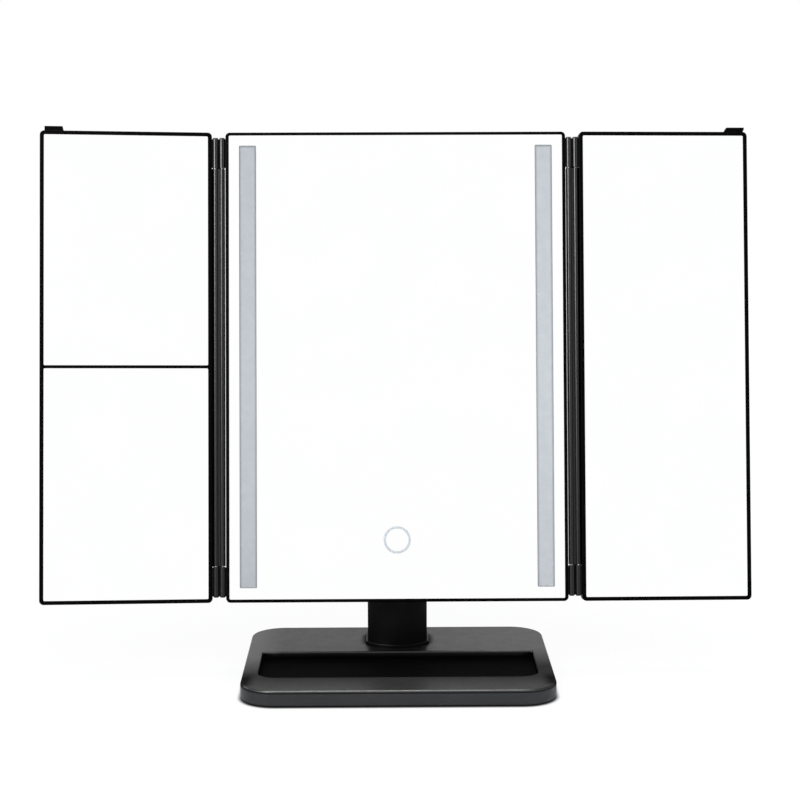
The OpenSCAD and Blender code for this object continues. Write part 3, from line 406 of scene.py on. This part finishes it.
# %% [markdown]
# ## Silvered glass
# A mirror is clear glass with silver and paint behind it. It could be built as glass over a metal sheet, with
# two surfaces, but the glass is 1.5 to 2 mm thick and the eye sees only the silver. A metal shader with next
# to no roughness does the same and stays clean in every renderer. A trace of haze stands for what a cloth
# leaves.

# %% Mirror
HAZE_SIZE = 0.03
HAZE_ROUGHNESS = 0.012

tree, shader = start_material("silvered_glass", 0.0, metallic=1.0)
haze = noise(tree, HAZE_SIZE, detail=4.0)
wire(tree, tint(tree, haze, (0.988, 0.992, 0.993), (0.996, 0.998, 0.998)), shader, "Base Color")
wire(tree, between(tree, haze, 0.0, HAZE_ROUGHNESS), shader, "Roughness")
print("mirror ready")

# %% [markdown]
# ## Milky windows
# Where the lights shine through, the silver is left off the glass and a milky diffuser sits behind. Unlit, it
# looks pale blue-grey. Its colour is painted darker along its edge, a painted shadow of the silver's rim in
# the glass, and painted lighter halfway up and on the right strip than on the left, which is painted light.
# The edge could be a thin frame of its own, but there is none on the real thing. It is drawn from the
# distance to the strip's middle line in the panel's own plane, so that it stays in place however the panel is
# tilted.

# %% Panel coordinates
LEAN = math.radians(9.7)
PANEL_AT = (0.0, 0.0037, 0.0349)
STRIP_WIDTH = 0.0083

strip_low, strip_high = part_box("light_windows")
strip_x = strip_high.x - STRIP_WIDTH / 2
strip_foot = (strip_low.z - PANEL_AT[2]) / math.cos(LEAN)
strip_head = (strip_high.z - PANEL_AT[2]) / math.cos(LEAN)
strip_middle = (strip_foot + strip_head) / 2
print("strip at x", round(strip_x, 4), "from", round(strip_foot, 4), "to", round(strip_head, 4))


def panel_axes(tree):
    """Across and up coordinates in the middle panel's own plane, in metres."""
    here = add(tree, "ShaderNodeTexCoord").outputs["Object"]
    moved = add(tree, "ShaderNodeVectorMath", {0: here, 1: PANEL_AT}, operation="SUBTRACT").outputs[0]
    up_axis = (0, math.sin(LEAN), math.cos(LEAN))
    up = add(tree, "ShaderNodeVectorMath", {0: moved, 1: up_axis}, operation="DOT_PRODUCT")
    return add(tree, "ShaderNodeSeparateXYZ", {0: moved}).outputs["X"], up.outputs["Value"]


# %% Light diffuser
MOTTLE_SIZE, RING_PATCH = 0.004, 0.002
# colour of the painted shadow along the strip's edge
PAINTED_EDGE_SHADOW = (0.33, 0.345, 0.37, 1)
EDGE_START, EDGE_END = 0.0001, 0.0011
# painted light: lighter halfway up and on the right strip
FOOT_PAINTED_LIGHT, MIDDLE_PAINTED_LIGHT, HEAD_PAINTED_LIGHT_LOSS = 0.945, 1.03, 0.065
LEFT_STRIP_PAINTED_LIGHT, RIGHT_STRIP_PAINTED_LIGHT, STRIP_PAINTED_LIGHT_REACH = 0.975, 1.075, 0.08

tree, shader = start_material("light_diffuser", 0.25, 0.3)
across, up = panel_axes(tree)
off_middle = calc(tree, "ABSOLUTE", calc(tree, "SUBTRACT", calc(tree, "ABSOLUTE", across), strip_x))
to_side = calc(tree, "SUBTRACT", STRIP_WIDTH / 2, off_middle)
to_foot = calc(tree, "SUBTRACT", up, strip_foot)
to_head = calc(tree, "SUBTRACT", strip_head, up)
to_edge = calc(tree, "MINIMUM", to_side, calc(tree, "MINIMUM", to_foot, to_head))
# painted shadow along the strip's edge
inside = between(tree, to_edge, 0.0, 1.0, start=EDGE_START, end=EDGE_END)
mottle = tint(tree, noise(tree, MOTTLE_SIZE, detail=3.0), (0.575, 0.605, 0.64), (0.625, 0.65, 0.68))
# painted light: brighter halfway up and on the right strip than on the left
rise = between(tree, up, FOOT_PAINTED_LIGHT, MIDDLE_PAINTED_LIGHT, start=strip_foot, end=strip_middle)
fall = between(tree, up, 0.0, HEAD_PAINTED_LIGHT_LOSS, start=strip_middle, end=strip_head)
sideways = between(tree, across, LEFT_STRIP_PAINTED_LIGHT, RIGHT_STRIP_PAINTED_LIGHT, start=-STRIP_PAINTED_LIGHT_REACH, end=STRIP_PAINTED_LIGHT_REACH)
painted_strip_light = calc(tree, "MULTIPLY", calc(tree, "SUBTRACT", rise, fall), sideways)
wire(tree, dim(tree, mix_colour(tree, inside, PAINTED_EDGE_SHADOW, mottle), painted_strip_light), shader, "Base Color")

tree, shader = start_material("ring_print", 0.25, 0.3)
print_colour = tint(tree, noise(tree, RING_PATCH), (0.72, 0.77, 0.81), (0.78, 0.83, 0.87))
wire(tree, print_colour, shader, "Base Color")
print("milky finishes ready")

# %% [markdown]
# ## Rubber, foam and the tray's liner
# Soft parts reflect almost nothing. The liner in the tray is a matt black skin with a grain that keeps small
# things from sliding; the pad under the base is plain soft rubber; the tape behind the panes is foam, whose
# cells could be modelled as holes but are drawn as a Voronoi pattern, since no one sees them up close.

# %% Soft finishes
CELLS_PER_METRE = 2500.0
CELL_DEPTH = 0.00008

moulded_plastic("tray_skin", dark=(0.0004, 0.0004, 0.0005), light=(0.0009, 0.0009, 0.001),
                roughness=0.8, specular=0.01, grain=0.0007, depth=0.00002)
moulded_plastic("soft_pad", dark=(0.012, 0.012, 0.0125), light=(0.02, 0.02, 0.021),
                roughness=0.75, specular=0.3, grain=0.0006, depth=0.00005)
tree, shader = start_material("foam_tape", 0.85, 0.2)
values = {"Vector": place(tree), "Scale": CELLS_PER_METRE}
cells = add(tree, "ShaderNodeTexVoronoi", values).outputs["Distance"]
wire(tree, tint(tree, cells, (0.03, 0.03, 0.032), (0.055, 0.055, 0.058), 0.1, 0.6), shader, "Base Color")
bump(tree, shader, cells, CELL_DEPTH)
print("soft finishes ready")

# %% [markdown]
# ## Metals
# Screws, shaft and contacts are plated steel with fine turning and rolling marks; the bracket is blackened
# steel; the weight in the base is a rough iron casting; the touch pad is copper foil. They could be four
# separate recipes, but they differ only in colour, in roughness and in how coarse their marks are, so one
# function makes them all.

# %% Metals
MARKS_SPREAD = 0.07


def metal(name, dark, light, roughness, grain, depth, stretch=(1, 1, 1), metallic=1.0):
    """Metal with marks that may run one way."""
    tree, shader = start_material(name, roughness, metallic=metallic)
    marks = noise(tree, grain, detail=4.0, where=place(tree, scale=stretch))
    wire(tree, tint(tree, marks, dark, light), shader, "Base Color")
    gloss = between(tree, marks, roughness - MARKS_SPREAD, roughness + MARKS_SPREAD)
    wire(tree, gloss, shader, "Roughness")
    bump(tree, shader, marks, depth)


metal("steel", dark=(0.46, 0.46, 0.47), light=(0.6, 0.6, 0.61), roughness=0.27,
      grain=0.0004, depth=0.000006, stretch=(0.15, 1, 1))
metal("dark_steel", dark=(0.02, 0.02, 0.021), light=(0.034, 0.034, 0.036), roughness=0.42,
      grain=0.0006, depth=0.00001, metallic=0.6)
metal("cast_weight", dark=(0.1, 0.1, 0.105), light=(0.19, 0.19, 0.195), roughness=0.6,
      grain=0.0011, depth=0.00012)
metal("copper", dark=(0.62, 0.32, 0.19), light=(0.74, 0.42, 0.27), roughness=0.3,
      grain=0.0008, depth=0.00001)
print("metals ready")

# %% [markdown]
# ## Boards, chips, cells and washers
# These sit behind the covers and show only when a cover or the battery door is off. Circuit boards are
# lacquered over copper tracks. Tracks could be drawn one by one, but at this size a brick pattern under the
# lacquer says the same. The chips carry yellow phosphor; the cells wear a plain coloured sleeve, without a
# word on it; the washers are white nylon.

# %% Electronics
TRACK_WIDTH = 0.03
SECOND_TONE = 0.93
BOARD_GRAIN, BOARD_DEPTH = 0.0012, 0.00001


def board(name, ground, track, scale):
    """Lacquered circuit board with tracks just showing through."""
    tree, shader = start_material(name, 0.3)
    values = {"Vector": place(tree, turn=(math.pi / 2 - LEAN, 0, 0)), "Scale": scale,
              "Mortar Size": TRACK_WIDTH, "Mortar": (*track, 1), "Color1": (*ground, 1),
              "Color2": (*[v * SECOND_TONE for v in ground], 1)}
    wire(tree, add(tree, "ShaderNodeTexBrick", values).outputs["Color"], shader, "Base Color")
    bump(tree, shader, noise(tree, BOARD_GRAIN), BOARD_DEPTH)


board("green_board", ground=(0.012, 0.09, 0.04), track=(0.03, 0.16, 0.08), scale=160.0)
board("white_board", ground=(0.74, 0.75, 0.74), track=(0.6, 0.6, 0.58), scale=120.0)
moulded_plastic("led_yellow", dark=(0.66, 0.52, 0.1), light=(0.76, 0.64, 0.2),
                roughness=0.35, specular=0.5, grain=0.0006, depth=0.00001)
moulded_plastic("cell_sleeve", dark=(0.02, 0.055, 0.13), light=(0.03, 0.075, 0.16),
                roughness=0.3, specular=0.5, grain=0.001, depth=0.000006)
moulded_plastic("nylon", dark=(0.66, 0.66, 0.63), light=(0.74, 0.74, 0.71),
                roughness=0.5, specular=0.4, grain=0.0006, depth=0.00001)
print(len(finishes), "finishes")

# %% [markdown]
# ## Dress the solids
# The record names a finish slot for each solid. The materials could be handed out piece by piece, but by
# those names a piece that is added later gets its finish by itself.

# %% Hand out the finishes
for part in frame["record"]["subparts"]:
    for slot in nodes[part["node"]].material_slots:
        slot.material = finishes[part["material_slot"]]

# %% [markdown]
# ## Floor
# The white sweep has to look white to the camera and still hold the thin dark line under the base. Part of
# its white is its own to the camera and to mirrors, a little more with distance so that no horizon shows,
# and the rest is light that falls on it, which the object can take away again. An occlusion node with a
# short reach darkens its own white where the base stands close: a painted contact shadow. For all other light
# it is a plain pale surface.

# %% Build the floor
FLOOR_HALF = 6.0
PALE = (0.82, 0.82, 0.82, 1)
HELD = (0.11, 0.11, 0.11, 1)
OWN_NEAR, OWN_FAR = 0.905, 0.98
WHITER_FROM, WHITER_TO = 0.15, 0.8
CONTACT_REACH = 0.003
CONTACT_CLOSED, CONTACT_OPEN = 0.5, 0.9

floor_mesh = bpy.data.meshes.new("floor")
corners = [(x * FLOOR_HALF, y * FLOOR_HALF, 0) for x, y in ((-1, -1), (1, -1), (1, 1), (-1, 1))]
floor_mesh.from_pydata(corners, [], [(0, 1, 2, 3)])
floor = bpy.data.objects.new("floor", floor_mesh)
scene.collection.objects.link(floor)
floor_material = bpy.data.materials.new("white_floor")
floor_material.use_nodes = True
tree = floor_material.node_tree
tree.nodes.clear()
pale = add(tree, "ShaderNodeBsdfDiffuse", {"Color": PALE})
held = add(tree, "ShaderNodeBsdfDiffuse", {"Color": HELD})
# painted contact shadow: the floor's own white is darkened where the base stands close
occlusion = add(tree, "ShaderNodeAmbientOcclusion", {"Distance": CONTACT_REACH}).outputs["AO"]
painted_contact_shade = between(tree, occlusion, 0.0, 1.0, start=CONTACT_CLOSED, end=CONTACT_OPEN)
away = add(tree, "ShaderNodeVectorMath", {0: place(tree)}, operation="LENGTH").outputs["Value"]
whiter = between(tree, away, OWN_NEAR, OWN_FAR, start=WHITER_FROM, end=WHITER_TO)
own_white = calc(tree, "MULTIPLY", painted_contact_shade, whiter)
own = add(tree, "ShaderNodeEmission", {"Color": WHITE, "Strength": own_white})
white = add(tree, "ShaderNodeAddShader", {0: held.outputs[0], 1: own.outputs[0]})
mix = add(tree, "ShaderNodeMixShader", {0: seen_directly(tree), 1: pale.outputs[0], 2: white.outputs[0]})
add(tree, "ShaderNodeOutputMaterial", {"Surface": mix.outputs[0]})
floor_mesh.materials.append(floor_material)
print("floor", 2 * FLOOR_HALF, "m square")
